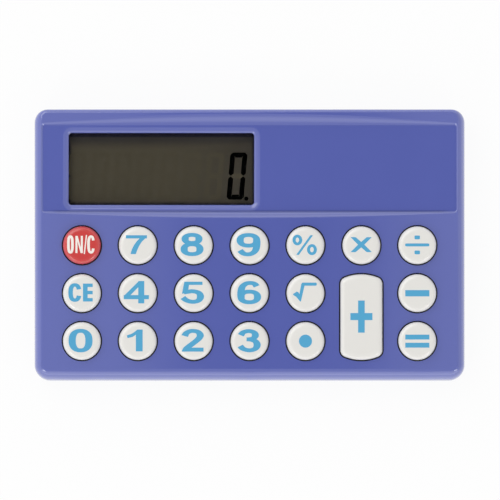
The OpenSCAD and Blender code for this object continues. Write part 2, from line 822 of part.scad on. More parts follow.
// A key stands at its own origin: cap, centre post, cross ribs and a groove for the guide rib
module key(k) {
    reach = key_r - key_wall / 2;
    rib = key_rib_t / 2;
    rib_z = flange_top + key_rib_up;
    under_top = key_top - key_top_t + over;
    groove = guide_w / 2 + guide_gap;
    difference() {
        union() {
            if (is_tall(k)) tall_cap(); else round_cap();
            post([0, 0], post_r, dome_top, under_top);
            block(-reach, reach, -rib, rib, rib_z, under_top);
            block(-rib, rib, -reach, reach, rib_z, under_top);
        }
        translate([0, key_half_l(k) + key_gap, 0])
            block(-groove, groove, -guide_reach - guide_gap, flange_w + key_gap, 0,
                  guide_top + key_travel + guide_gap);
    }
}

module pill(k) {
    color([0.1, 0.1, 0.1]) translate(key_at(k)) post([0, 0], pill_r, pill_z, pill_top);
}

module placed_key(k) {
    tint = k[0] == "on_clear" ? [0.85, 0.28, 0.27] : [0.93, 0.91, 0.87];
    color(tint) translate(key_at(k)) key(k);
}

// ---- Battery ----

// Button cell: can with its rim, and the smaller cap facing up
module battery_cell() {
    can_t = cell_t - cell_cap_h;
    cap_r = cell_r - cell_ledge;
    cap_edge = cell_cap_h / 3;
    color([0.78, 0.78, 0.77]) translate([cell_x, cell_y, cell_z]) rotate_extrude() polygon([
        [0, 0], [cell_r - cell_edge, 0], [cell_r, cell_edge], [cell_r, can_t - cell_edge],
        [cell_r - cell_edge, can_t], [cap_r, can_t], [cap_r, cell_t - cap_edge],
        [cap_r - cap_edge, cell_t], [0, cell_t]
    ]);
}

// Bent strip: the path's points in a plane, joined by straight legs along its two directions
module bent_strip(path) {
    t = strip_t / 2;
    linear_extrude(strip_w, center = true) for (i = [0 : len(path) - 2])
        let (a = path[i], b = path[i + 1])
        translate([min(a.x, b.x) - t, min(a.y, b.y) - t])
            square([abs(a.x - b.x) + 2 * t, abs(a.y - b.y) + 2 * t]);
}

// Positive strip: stands against the side of the can, crosses the bay wall, ends on the board
module battery_contact_positive() {
    t = strip_t / 2;
    side_x = -cell_r - t - fit_gap;
    foot_x = -bay_half_w - contact_clear;
    over_z = board_top + contact_over;
    color([0.8, 0.72, 0.5]) translate([cell_x, cell_y, 0]) rotate([90, 0, 0]) bent_strip([
        [side_x, board_z], [side_x, over_z], [foot_x, over_z],
        [foot_x, board_top + t], [foot_x - contact_foot + t, board_top + t]
    ]);
}

// Negative strip: lies on the cap and runs forward to the board
module battery_contact_negative() {
    t = strip_t / 2;
    bend_y = bay_front_y - edge_gap * 2 - cell_y;
    over_z = cell_top + t + fit_gap;
    color([0.8, 0.72, 0.5]) translate([cell_x, cell_y, 0]) rotate([90, 0, 90]) bent_strip([
        [cell_r / 4, over_z], [bend_y, over_z], [bend_y, board_top + t],
        [bend_y - contact_foot * 0.7, board_top + t]
    ]);
}

top_case();
bottom_case();
display_window();
lcd_front_polariser();
lcd_front_glass();
lcd_rear_glass();
lcd_reflector();
lcd_foam_pad();
zebra_connector();
circuit_board();
chip_blob();
capacitors();
keypad_mat();
case_screws();
battery_door();
battery_cell();
battery_contact_positive();
battery_contact_negative();
rubber_feet();
for (k = KEYS) placed_key(k);
for (k = KEYS) pill(k);
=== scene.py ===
"""Looks of a pocket-size desk calculator: finishes, key legends and display segments.

Lengths are in metres, in the frame's axes: +X right, +Y to the display side, +Z up. Outlines of
legends and display segments are in millimetres.
"""

import json
import math

import bpy
import numpy as np
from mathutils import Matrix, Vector
from mathutils.geometry import delaunay_2d_cdt

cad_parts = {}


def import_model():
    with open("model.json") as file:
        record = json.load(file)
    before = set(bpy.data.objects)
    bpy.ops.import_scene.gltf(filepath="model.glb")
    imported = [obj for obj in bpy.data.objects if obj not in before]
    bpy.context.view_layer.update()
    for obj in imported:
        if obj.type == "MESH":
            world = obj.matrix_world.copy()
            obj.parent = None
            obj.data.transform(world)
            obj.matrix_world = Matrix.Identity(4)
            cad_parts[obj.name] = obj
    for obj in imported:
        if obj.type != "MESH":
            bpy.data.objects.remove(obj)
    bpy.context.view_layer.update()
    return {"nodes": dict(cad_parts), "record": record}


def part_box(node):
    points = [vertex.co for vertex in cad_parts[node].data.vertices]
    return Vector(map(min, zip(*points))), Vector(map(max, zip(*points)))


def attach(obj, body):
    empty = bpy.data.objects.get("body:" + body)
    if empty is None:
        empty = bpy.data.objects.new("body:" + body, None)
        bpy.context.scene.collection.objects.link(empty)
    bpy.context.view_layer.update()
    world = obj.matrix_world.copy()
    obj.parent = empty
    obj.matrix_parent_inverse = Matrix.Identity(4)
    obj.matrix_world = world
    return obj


MM = 0.001

# Shape of the top case, as far as its finish follows it
CROWN = 0.8 * MM               # how much lower its top is at its sides than at the middle
PANEL_DEPTH = 1.0 * MM         # how far the display panel lies under the crown's middle
CREASE_FROM_REAR = 23.12 * MM  # from its rear edge to the crease along the panel's front
CREASE_FROM_SIDE = 2.2 * MM    # from its sides to the ends of that crease
WINDOW_LAP = 1.2 * MM          # how far the display window reaches past its opening

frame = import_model()
nodes = frame["nodes"]
KEY_NAMES = [name[4:] for name in nodes if name.startswith("key_")]


# ---- Small helpers ----

def linear(r, g, b):
    """A display colour, 0 to 255, as linear light with alpha."""
    def channel(v):
        v /= 255
        return v / 12.92 if v <= 0.04045 else ((v + 0.055) / 1.055) ** 2.4
    return (channel(r), channel(g), channel(b), 1.0)


def scaled(colour, share):
    """A colour at a share of its strength, up to white."""
    return [min(1, c * share) for c in colour[:3]] + [1]


def box_of(node):
    low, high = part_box(node)
    return Vector(low), Vector(high)


# ---- Shader nodes ----

def new_material(name):
    material = bpy.data.materials.new(name)
    material.use_nodes = True
    tree = material.node_tree
    return material, tree, tree.nodes["Principled BSDF"]


def feed(tree, socket, value):
    """Gives an input a number or another node's output."""
    if isinstance(value, (int, float)):
        socket.default_value = value
    else:
        tree.links.new(value, socket)


def maths(tree, operation, *values):
    """One step of arithmetic on numbers and outputs."""
    node = tree.nodes.new("ShaderNodeMath")
    node.operation = operation
    for socket, value in zip(node.inputs, values):
        feed(tree, socket, value)
    return node.outputs["Value"]


def largest(tree, values):
    result = values[0]
    for value in values[1:]:
        result = maths(tree, "MAXIMUM", result, value)
    return result


def distance(tree, place, middle):
    """How far a place lies from a middle, to either side of it."""
    return maths(tree, "ABSOLUTE", maths(tree, "SUBTRACT", place, middle))


def blend(tree, value, span, low, high):
    """Smooth change from low to high as the value crosses span. low and high are numbers or outputs."""
    ramp = tree.nodes.new("ShaderNodeMapRange")
    ramp.interpolation_type = "SMOOTHSTEP"
    ramp.inputs["From Min"].default_value, ramp.inputs["From Max"].default_value = span
    feed(tree, ramp.inputs["Value"], value)
    feed(tree, ramp.inputs["To Min"], low)
    feed(tree, ramp.inputs["To Max"], high)
    return ramp.outputs["Result"]


def axes(tree, vector):
    """The three parts of a vector."""
    split = tree.nodes.new("ShaderNodeSeparateXYZ")
    tree.links.new(vector, split.inputs["Vector"])
    return [split.outputs[axis] for axis in "XYZ"]


def object_place(tree):
    """A point's place at rest: every object sits at the origin, with its place in its mesh."""
    return tree.nodes.new("ShaderNodeTexCoord").outputs["Object"]


def noise(tree, cell_mm, detail=3.0):
    """Noise from 0 to 1 in cells of this size."""
    node = tree.nodes.new("ShaderNodeTexNoise")
    node.inputs["Scale"].default_value = 1 / (cell_mm * MM)
    node.inputs["Detail"].default_value = detail
    tree.links.new(object_place(tree), node.inputs["Vector"])
    return node.outputs["Fac"]


def roughen(tree, shader, factor, low, high):
    """Roughness that drifts between two numbers."""
    ramp = tree.nodes.new("ShaderNodeMapRange")
    ramp.inputs["To Min"].default_value = low
    ramp.inputs["To Max"].default_value = high
    tree.links.new(factor, ramp.inputs["Value"])
    tree.links.new(ramp.outputs["Result"], shader.inputs["Roughness"])


def emboss(tree, shader, height, depth_mm):
    bump = tree.nodes.new("ShaderNodeBump")
    bump.inputs["Distance"].default_value = depth_mm * MM
    bump.inputs["Strength"].default_value = 1.0
    tree.links.new(height, bump.inputs["Height"])
    tree.links.new(bump.outputs["Normal"], shader.inputs["Normal"])


def mix_colours(tree, shader, factor, first, second):
    """Base colour that goes from first to second, each a colour or an output."""
    mix = tree.nodes.new("ShaderNodeMix")
    mix.data_type = "RGBA"
    tree.links.new(factor, mix.inputs["Factor"])
    for name, colour in (("A", first), ("B", second)):
        if isinstance(colour, bpy.types.NodeSocket):
            tree.links.new(colour, mix.inputs[name])
        else:
            mix.inputs[name].default_value = colour
    tree.links.new(mix.outputs["Result"], shader.inputs["Base Color"])


def tint(tree, shader, factor, colour, amount):
    """Base colour that drifts by a small share either side of one colour."""
    mix_colours(tree, shader, factor, scaled(colour, 1 - amount), scaled(colour, 1 + amount))


def shade(tree, shader, factor, colour):
    """Paints shade: the base colour that a shader has goes to a darker one."""
    mix_colours(tree, shader, factor, shader.inputs["Base Color"].links[0].from_socket, colour)


# ---- Finishes ----

def moulded(name, colour, rough, grain_mm=0.25, bump_mm=0.004, drift=0.02, specular=0.5, gloss=0.0):
    """Moulded plastic: a fine grain, a broad drift of colour and gloss, and a share of clear skin."""
    material, tree, shader = new_material(name)
    broad = noise(tree, cell_mm=12, detail=2.0)
    tint(tree, shader, broad, colour, drift)
    roughen(tree, shader, broad, rough * 0.92, rough * 1.08)
    emboss(tree, shader, noise(tree, grain_mm), bump_mm)
    shader.inputs["Specular IOR Level"].default_value = specular
    shader.inputs["Coat Weight"].default_value = gloss
    shader.inputs["Coat Roughness"].default_value = 0.06
    return material


def metal(name, colour, rough):
    """Plated metal with a faint grain."""
    material, tree, shader = new_material(name)
    grain = noise(tree, cell_mm=0.4)
    tint(tree, shader, grain, colour, amount=0.05)
    roughen(tree, shader, grain, rough - 0.06, rough + 0.06)
    emboss(tree, shader, grain, depth_mm=0.003)
    shader.inputs["Metallic"].default_value = 1.0
    return material


def clear(name, colour, rough, ior=1.49):
    """Clear sheet that light goes straight through."""
    material, tree, shader = new_material(name)
    grain = noise(tree, cell_mm=3)
    tint(tree, shader, grain, colour, amount=0.01)
    roughen(tree, shader, grain, rough, rough + 0.02)
    shader.inputs["Transmission Weight"].default_value = 1.0
    shader.inputs["IOR"].default_value = ior
    return material


def case_blue():
    """Glossy moulded plastic, with painted shade darkening the crease along the front of the display panel.
    """
    # painted shade in the crease: its width, its fade, its fade towards the ends, and the share of the
    # colour left there
    line, fade, end_fade, crease_shade_share = 0.1 * MM, 0.42 * MM, 4 * MM, 0.72
    material = moulded("case_blue", CASE_BLUE, 0.1, bump_mm=0.0004, specular=1.0, gloss=0.9)
    tree, shader = material.node_tree, material.node_tree.nodes["Principled BSDF"]
    right, rear = box_of("top_case")[1].xy
    end = right - CREASE_FROM_SIDE
    x, y, _ = axes(tree, object_place(tree))
    near_line = blend(tree, distance(tree, y, rear - CREASE_FROM_REAR), (line, fade), 1, 0)
    between_ends = blend(tree, distance(tree, x, 0), (end - end_fade, end), 1, 0)
    shade(tree, shader, maths(tree, "MULTIPLY", near_line, between_ends), scaled(CASE_BLUE, crease_shade_share))
    return material


def keycap(name, colour, hole_shade_share=0.06):
    """Moulded key plastic, with painted shade darkening its colour where the key sits inside its hole."""
    fade = 0.3 * MM
    material = moulded(name, colour, 0.22, bump_mm=0.001, drift=0.01, specular=0.8, gloss=0.5)
    tree, shader = material.node_tree, material.node_tree.nodes["Principled BSDF"]
    rim = box_of("top_case")[1].z - CROWN
    _, _, z = axes(tree, object_place(tree))
    # painted shade: below the rim of the hole the colour goes to a dark share of itself
    shade(tree, shader, blend(tree, z, (rim, rim + fade), 1, 0), scaled(colour, hole_shade_share))
    return material


def display_film():
    """Grey-brown polariser with painted shade from its opening, sharp along its edges and soft over its
    rear, and darker towards the right.
    """
    material = moulded("display_film", linear(109, 103, 88), 0.5, grain_mm=0.1, bump_mm=0.001,
                       drift=0.04, specular=0)
    tree, shader = material.node_tree, material.node_tree.nodes["Principled BSDF"]
    x, y, _ = axes(tree, object_place(tree))
    low, high = box_of("display_window")
    middle = (low + high) / 2
    right, rear = high.x - WINDOW_LAP, high.y - WINDOW_LAP
    edge, soft_start, soft_end = 0.9 * MM, 3.4 * MM, 0.6 * MM
    width, depth = right - middle.x, rear - middle.y
    # painted shade along the edges and over the rear, and a darkening towards the right, all towards one
    # shade colour
    shades = [
        blend(tree, distance(tree, x, middle.x), (width - edge, width), 0, 1),
        blend(tree, distance(tree, y, middle.y), (depth - edge, depth), 0, 1),
        blend(tree, y, (rear - soft_start, rear - soft_end), 0, 0.55),
        blend(tree, x, (middle.x, right), 0, 0.3),
    ]
    shade(tree, shader, largest(tree, shades), linear(56, 54, 70))
    return material


CREAM = linear(242, 240, 235)
CASE_BLUE = linear(94, 105, 185)
MATERIALS = {
    "case_upper": case_blue(),
    "case_lower": moulded("case_blue_lower", linear(90, 101, 178), 0.5),
    "key_cream": keycap("key_cream", CREAM),
    "key_red": keycap("key_red", linear(214, 62, 60), 0.2),
    "window": clear("window_clear", (0.97, 0.97, 0.96), 0.02),
    "display_film": display_film(),
    "display_glass": clear("display_glass", (0.95, 0.97, 0.95), 0.02, ior=1.52),
    "reflector": metal("reflector_film", (0.55, 0.55, 0.5, 1), 0.4),
    "foam": moulded("foam_black", linear(38, 38, 38), 0.95, grain_mm=0.6, bump_mm=0.08, drift=0.2,
                    specular=0.1),
    "zebra": moulded("zebra_rubber", linear(170, 140, 140), 0.8, grain_mm=0.3, bump_mm=0.01),
    "board": moulded("board_green", linear(26, 92, 50), 0.4, grain_mm=0.5, bump_mm=0.01, drift=0.08),
    "blob": moulded("resin_black", linear(18, 18, 19), 0.25, grain_mm=0.8, bump_mm=0.01),
    "chip": moulded("chip_ceramic", linear(170, 140, 105), 0.5),
    "mat": moulded("mat_silicone", linear(158, 160, 158), 0.6, grain_mm=0.4, bump_mm=0.01),
    "steel": metal("screw_steel", (0.62, 0.62, 0.63, 1), 0.3),
    "cell": metal("cell_nickel", (0.72, 0.72, 0.7, 1), 0.25),
    "contact": metal("contact_brass", (0.82, 0.7, 0.42, 1), 0.3),
    "foot": moulded("foot_rubber", linear(34, 34, 36), 0.8, grain_mm=0.4, bump_mm=0.02),
    "carbon": moulded("carbon_pill", linear(24, 24, 24), 0.7),
}
PRINTS = {
    "legend_cyan": moulded("legend_cyan", linear(84, 172, 215), 0.4, drift=0.01),
    "legend_white": moulded("legend_white", linear(252, 246, 238), 0.4, drift=0.01),
    "lcd_dark": moulded("lcd_dark", linear(8, 8, 8), 0.45, drift=0.01, specular=0),
    "lcd_ghost": moulded("lcd_ghost", linear(107, 101, 86), 0.5, drift=0.01, specular=0),
}


# ---- Shading of the CAD pieces ----

SHARP = math.radians(32)         # faces that meet at more than this keep a crisp edge
SAME_POINT = 0.0005 * MM         # corners of faces closer than this are one point
CROWN_SLACK = 0.03 * MM          # how far the crown's flat strips lie off the true curve, at most
PANEL_SLACK = 0.005 * MM         # and the panel's faces off its plane
CROWN_UP, PANEL_UP = 0.97, 0.9   # how far up their faces look, at least


def corner_data(mesh):
    """Each face corner's place, and the normal and area of its face."""
    corners = np.empty(len(mesh.loops), dtype=int)
    mesh.loops.foreach_get("vertex_index", corners)
    places = np.empty(len(mesh.vertices) * 3)
    mesh.vertices.foreach_get("co", places)
    count = len(mesh.polygons)
    normals, areas, sides = np.empty(count * 3), np.empty(count), np.empty(count, dtype=int)
    mesh.polygons.foreach_get("normal", normals)
    mesh.polygons.foreach_get("area", areas)
    mesh.polygons.foreach_get("loop_total", sides)
    face_of = np.repeat(np.arange(count), sides)
    return places.reshape(-1, 3)[corners], normals.reshape(-1, 3)[face_of], areas[face_of]


def smooth_normals(places, flat, areas):
    """Shades roundings smooth and sharper edges crisp. Weighing by area keeps large faces flat."""
    normals = flat.copy()
    _, point = np.unique(np.round(places / SAME_POINT), axis=0, return_inverse=True)
    order = np.argsort(point.ravel(), kind="stable")
    for group in np.split(order, np.flatnonzero(np.diff(point.ravel()[order])) + 1):
        near = flat[group] @ flat[group].T > math.cos(SHARP)
        normals[group] = near @ (flat[group] * areas[group, None])
    lengths = np.linalg.norm(normals, axis=1, keepdims=True)
    return np.where(lengths > 0, normals / np.maximum(lengths, 1e-30), flat)


def case_normals(places, flat, normals):
    """Upright normals on the display panel, and true ones on the crown, which is built from flat strips."""
    low, high = box_of("top_case")
    half, middle = (high.x - low.x) / 2, (high.x + low.x) / 2
    across = (places[:, 0] - middle) / half
    on_crown = abs(places[:, 2] - (high.z - CROWN * across ** 2)) < CROWN_SLACK
    on_crown &= flat[:, 2] > CROWN_UP
    slope = 2 * CROWN * across / half
    true = np.stack([slope, np.zeros_like(slope), np.ones_like(slope)], axis=1)
    true /= np.linalg.norm(true, axis=1, keepdims=True)
    on_panel = abs(places[:, 2] - (high.z - PANEL_DEPTH)) < PANEL_SLACK
    on_panel &= flat[:, 2] > PANEL_UP
    return np.where(on_crown[:, None], true, np.where(on_panel[:, None], (0, 0, 1), normals))


def dress_cad():
    """Gives every CAD node its material and its shading."""
    slots = {s["node"]: s["material_slot"] for s in frame["record"]["subparts"]}
    for name, node in nodes.items():
        mesh = node.data
        mesh.materials.clear()
        mesh.materials.append(MATERIALS[slots[name]])
        if "custom_normal" in mesh.attributes:
            mesh.attributes.remove(mesh.attributes["custom_normal"])
        mesh.shade_smooth()
        places, flat, areas = corner_data(mesh)
        normals = smooth_normals(places, flat, areas)
        if name == "top_case":
            normals = case_normals(places, flat, normals)
        mesh.normals_split_custom_set(normals.tolist())


dress_cad()


# ---- Outlines ----

def rectangle(x, y, w, h):
    right, top = w / 2, h / 2
    return [(x - right, y - top), (x + right, y - top), (x + right, y + top), (x - right, y + top)]


def oval(x, y, rx, ry, power=2.0, steps=48):
    """Points of a superellipse. Above 2, power squares its shoulders."""
    def reach(part):
        return math.copysign(abs(part) ** (2 / power), part)

    angles = [math.tau * i / steps for i in range(steps)]
    return [(x + rx * reach(math.cos(angle)), y + ry * reach(math.sin(angle))) for angle in angles]


def smooth(points, steps=6):
    """Points along a Catmull-Rom curve through the given ones."""
    def between(p, q, r, s, t):
        bend, twist = 2 * p - 5 * q + 4 * r - s, 3 * q - p - 3 * r + s
        return 0.5 * (2 * q + (r - p) * t + bend * t ** 2 + twist * t ** 3)

    knots = [points[0], *points, points[-1]]
    path = [tuple(between(*axis, i / steps) for axis in zip(*four))
            for four in zip(knots, knots[1:], knots[2:], knots[3:]) for i in range(steps)]
    return [*path, points[-1]]


def stroke(path, pen, closed=False):
    """Triangles along a path. The pen gives the thickness of upright and of level strokes."""
    count = len(path)
    sides = []
    for i, (x, y) in enumerate(path):
        a = path[i - 1] if closed or i else path[i]
        b = path[(i + 1) % count] if closed or i < count - 1 else path[i]
        along = Vector((b[0] - a[0], b[1] - a[1])).normalized()
        out = Vector((along.y * pen[0] / 2, -along.x * pen[1] / 2))
        sides.append(((x + out.x, y + out.y), (x - out.x, y - out.y)))
    ends = zip(sides, [*sides[1:], sides[0]] if closed else sides[1:])
    return [triangle for a, b in ends for triangle in ([a[0], b[0], b[1]], [a[0], b[1], a[1]])]


# ---- Printed shapes ----

INK = 0.012 * MM      # thickness of a print. A quarter of a legend's lies in its key
SAME_SPOT_MM = 1e-5   # corners of outlines closer than this are one


def plate(name, outlines, middle, z, material):
    """Thin solid plate that fills the union of closed outlines. middle is their origin in metres."""
    points, loops = [], []
    for outline in outlines:
        area = sum(a[0] * b[1] - b[0] * a[1] for a, b in zip(outline, [*outline[1:], outline[0]]))
        loops.append(list(range(len(points), len(points) + len(outline))))
        points += [Vector((x, y)) for x, y in (outline if area > 0 else reversed(outline))]
    points, _, triangles, _, _, sources = delaunay_2d_cdt(points, [], loops, 0, SAME_SPOT_MM)
    filled = [triangle for triangle, source in zip(triangles, sources) if source]
    used = sorted({corner for triangle in filled for corner in triangle})
    number = {corner: i for i, corner in enumerate(used)}
    shape = [[number[corner] for corner in triangle] for triangle in filled]
    edges = [(a, b) for triangle in shape for a, b in zip(triangle, [*triangle[1:], triangle[0]])]
    turned = {(b, a) for a, b in edges}   # an edge that isn't among these lies on the rim
    up = len(used)                        # from a corner's number to that of the one above it
    lid = [[corner + up for corner in triangle] for triangle in shape]
    underside = [triangle[::-1] for triangle in shape]
    walls = [[a, b, b + up, a + up] for a, b in edges if (a, b) not in turned]
    corners = [(middle[0] + points[i].x * MM, middle[1] + points[i].y * MM, height)
               for height in (z, z + INK) for i in used]
    mesh = bpy.data.meshes.new(name)
    mesh.from_pydata(corners, [], lid + underside + walls)
    mesh.materials.append(material)
    piece = bpy.data.objects.new(name, mesh)
    bpy.context.collection.objects.link(piece)
    return piece


# ---- Key legends: outlines in millimetres about the middle of each mark ----

BOLD = (1.62, 0.88)    # thickness of upright and level strokes in the figures
FINE = (0.7, 0.63)     # of the percent sign
NARROW = (0.6, 0.46)   # of the letters on the red key
WIDE = (1.02, 0.78)    # of the letters CE


def curve(points):
    return stroke(smooth(points), BOLD)


def ring(x, y, rx, ry, pen=BOLD, power=2.3):
    """A closed stroke. rx and ry reach to its outer edge."""
    return stroke(oval(x, y, rx - pen[0] / 2, ry - pen[1] / 2, power), pen, closed=True)


def letter_c(x, rx, ry, pen, gap):
    """An upright C: a ring left open over this many degrees either side of its right."""
    outer = oval(0, 0, rx - pen[0] / 2, ry - pen[1] / 2, power=2.5, steps=72)
    path = [(x + px, py) for px, py in outer if abs(math.degrees(math.atan2(py / ry, px / rx))) > gap]
    return stroke(path, pen)


def six(end):
    """A six whose upper stroke stops at end. Turned half round it is a nine."""
    back = [(-1.86, -0.98), (-1.86, 0.1), (-1.55, 1.3), (-0.7, 2.02), (0.3, 2.19), (1.2, 1.98), end]
    return [*ring(0.04, -0.98, 2.68, 1.64), *curve(back)]


def half_turn(outlines):
    return [[(-x, -y) for x, y in outline] for outline in outlines]


DIGITS = {
    "0": ring(0, 0, 2.71, 2.65, power=2.4),
    "1": [[(1.8, 2.47), (0.6, 2.47), (-0.1, 1.9), (-0.75, 1.5), (-1.78, 1.15), (-1.63, 0.53),
           (-0.45, 0.82), (0.25, 1.3), (0.25, -2.47), (1.8, -2.47)]],
    "2": [*curve([(-1.85, 1.0), (-1.5, 1.6), (-0.8, 2.04), (0.1, 2.16), (1.15, 1.92), (1.68, 1.2),
                  (1.3, 0.4), (0.3, -0.45), (-0.9, -1.35), (-1.7, -2.05)]),
          [(-2.52, -2.52), (2.42, -2.52), (2.42, -1.62), (-1.7, -1.62), (-2.3, -1.85)]],
    "3": [*curve([(-1.9, 1.22), (-1.3, 1.9), (-0.1, 2.18), (1.0, 1.9), (1.4, 1.25), (1.0, 0.6),
                  (0.1, 0.33), (-0.6, 0.3)]),
          *curve([(-0.6, 0.3), (0.3, 0.25), (1.4, -0.15), (1.8, -0.98), (1.35, -1.82), (0.1, -2.18),
                  (-1.3, -1.88), (-2.05, -1.2)])],
    "4": [rectangle(1.12, 0, 1.36, 5.06), rectangle(0, -1.12, 5.7, 0.93),
          [(0.58, 2.53), (-2.84, -0.85), (-2.84, -1.2), (-1.3, -1.2), (-1.3, -0.66), (0.31, 1.0),
           (0.7, 1.4), (0.7, 2.53)]],
    "5": [rectangle(0.2, 2.07, 4.1, 0.72),
          [(-1.85, 2.43), (-0.7, 2.43), (-1.0, 0.3), (-1.2, -0.1), (-2.4, -0.3)],
          *curve([(-2.0, 0.0), (-1.0, 0.16), (0.1, 0.27), (1.35, -0.08), (1.8, -0.92), (1.35, -1.8),
                  (0.1, -2.13), (-1.3, -1.82), (-2.2, -1.15)])],
    "6": six((1.72, 1.42)),
    "7": [rectangle(0, 1.77, 4.76, 0.72),
          [(2.38, 2.13), (2.3, 1.7), (1.25, 0.7), (0.6, -0.3), (0.15, -1.3), (-0.15, -2.13),
           (-1.35, -2.13), (-1.05, -1.1), (-0.55, -0.1), (0.1, 0.8), (0.75, 1.45), (0.75, 2.13)]],
    "8": [*ring(0, 1.27, 2.37, 1.36), *ring(0, -1.05, 2.6, 1.56)],
    "9": half_turn(six((1.95, 1.3))),
}
SIGNS = {
    "percent": [*ring(-1.64, 1.11, 1.1, 1.2, FINE, 2.0), *ring(1.66, -1.07, 1.12, 1.24, FINE, 2.0),
                [(1.3, 2.2), (1.9, 2.2), (-1.3, -2.25), (-1.9, -2.25)]],
    "multiply": [[(-2.4, 1.69), (-1.25, 1.69), (0, 0.62), (1.25, 1.69), (2.4, 1.69), (0.72, 0),
                  (2.4, -1.69), (1.25, -1.69), (0, -0.62), (-1.25, -1.69), (-2.4, -1.69), (-0.72, 0)]],
    "divide": [oval(0, 0, 2.73, 0.34, 8), oval(0, 1.7, 0.62, 0.43, 5), oval(0, -1.7, 0.62, 0.43, 5)],
    "minus": [rectangle(0, 0, 5.46, 1.42)],
    "equals": [rectangle(0, 0.92, 5.46, 1.1), rectangle(0, -0.92, 5.46, 1.1)],
    "plus": [rectangle(0, 0, 5.0, 1.6), rectangle(0, 0, 1.5, 7.28)],
    "point": [oval(0, 0, 1.48, 1.48)],
    "root": [[(-2.65, -0.4), (-1.82, 0.15), (-1.45, -0.05), (-1.24, -0.45), (-0.81, 1.85), (-0.58, 2.16),
              (2.5, 2.16), (2.69, 2.0), (2.69, 1.65), (2.5, 1.46), (-0.08, 1.46), (-0.87, -1.98),
              (-1.04, -2.18), (-1.3, -1.85), (-1.97, -1.05), (-2.65, -0.66)]],
    "on_clear": [*ring(-2.4, 0, 0.76, 2.06, NARROW, 2.6),
                 [(-1.27, -1.95), (-0.8, -1.95), (-0.8, 0.7), (-0.1, -1.95), (0.42, -1.95),
                  (0.42, 1.95), (-0.05, 1.95), (-0.05, -0.7), (-0.75, 1.95), (-1.27, 1.95)],
                 [(1.1, 2.16), (1.38, 2.16), (0.88, -2.16), (0.6, -2.16)],
                 *letter_c(2.26, 0.86, 2.06, NARROW, 33)],
    "clear_entry": [*letter_c(-1.27, 1.48, 2.1, WIDE, 28), rectangle(1.09, 0, 1.05, 4.06),
                    *(rectangle(1.67, y, 2.2, 0.78) for y in (-1.64, 0, 1.64))],
}
# How far the middle of each mark lies from the middle of its key, in millimetres
SHIFTS = {
    "0": (-0.28, 0.12), "1": (-0.68, 0.15), "2": (-0.18, 0.15), "3": (-0.08, 0.1), "4": (-0.32, 0.24),
    "5": (-0.25, 0.18), "6": (-0.1, 0.14), "7": (-0.29, 0.16), "8": (-0.36, 0.18), "9": (-0.22, 0.16),
    "percent": (-0.2, 0.1), "root": (-0.14, 0.25), "on_clear": (-0.18, 0.2), "clear_entry": (-0.3, 0.16),
    "multiply": (-0.05, 0.16), "divide": (-0.02, 0.1), "plus": (0, 0.14),
}


def legends():
    for key in KEY_NAMES:
        node = "key_" + key
        low, high = box_of(node)
        middle = (low + high) / 2 + Vector((*SHIFTS.get(key, (0, 0)), 0)) * MM
        ink = PRINTS["legend_white" if key == "on_clear" else "legend_cyan"]
        outlines = DIGITS.get(key) or SIGNS[key]
        piece = plate("legend_" + key, outlines, middle, high.z - INK / 4, ink)
        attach(piece, node)


legends()


# ---- Display segments, in millimetres ----

DIGIT_W, DIGIT_H = 3.9, 10.67
DIGIT_PITCH, DIGIT_COUNT = 5.2, 8
LAST_DIGIT = (-2.85, 15.69)              # middle of the digit at the right
SLANT = math.tan(math.radians(5))
BAR = 1.14                               # thickness of a segment
BAR_GAP = 0.11                           # half the gap between two segments
BAR_CUT = 0.42 * BAR                     # how much the corners of a segment are cut
POINT_R, POINT_PLACE = 0.46, (2.12, -5.12)   # the point, from the middle of its digit
LIFT = 0.004 * MM                        # of the segments over the polariser


def upright_bar(side, low, high):
    """Between two heights, at the left or right side. At the digit's ends its inner corner is mitred."""
    outer, inner = side * DIGIT_W / 2, side * (DIGIT_W / 2 - BAR)
    ends = []
    for at, to in ((low, 1), (high, -1)):
        at_end = abs(at) > DIGIT_H / 2 - BAR / 2
        ends.append((at + to * (BAR_GAP + BAR_CUT), at + to * (BAR_GAP + (BAR if at_end else BAR_CUT))))
    (low_out, low_in), (high_out, high_in) = ends
    tip = side * (DIGIT_W / 2 - BAR / 2)
    blunt = tip + side * BAR * 0.1
    return [(outer, low_out), (outer, high_out), (blunt, high - BAR_GAP), (tip, high - BAR_GAP),
            (inner, high_in), (inner, low_in), (tip, low + BAR_GAP), (blunt, low + BAR_GAP)]


def level_bar(side):
    """Across the digit's top or foot."""
    outer, inner = side * DIGIT_H / 2, side * (DIGIT_H / 2 - BAR)
    long = DIGIT_W / 2 - BAR_GAP - BAR_CUT
    blunt, blunt_y = DIGIT_W / 2 - BAR_GAP - BAR_CUT * 0.6, outer - side * BAR_CUT * 0.4
    short = DIGIT_W / 2 - BAR - BAR_GAP
    return [(-long, outer), (long, outer), (blunt, blunt_y),
            (short, inner), (-short, inner), (-blunt, blunt_y)]


def middle_bar():
    tip, shoulder, top = DIGIT_W / 2 - BAR * 0.55, DIGIT_W / 2 - BAR, BAR / 2
    return [(-tip, 0), (-shoulder, top), (shoulder, top), (tip, 0), (shoulder, -top), (-shoulder, -top)]


def digit(x, y, lit):
    """Seven slanted segments about a middle. lit names those drawn, from a to g."""
    top = DIGIT_H / 2
    bars = {
        "a": level_bar(1), "d": level_bar(-1), "g": middle_bar(),
        "b": upright_bar(1, 0, top), "c": upright_bar(1, -top, 0),
        "e": upright_bar(-1, -top, 0), "f": upright_bar(-1, 0, top),
    }
    return [[(x + px + py * SLANT, y + py) for px, py in bars[name]] for name in lit]


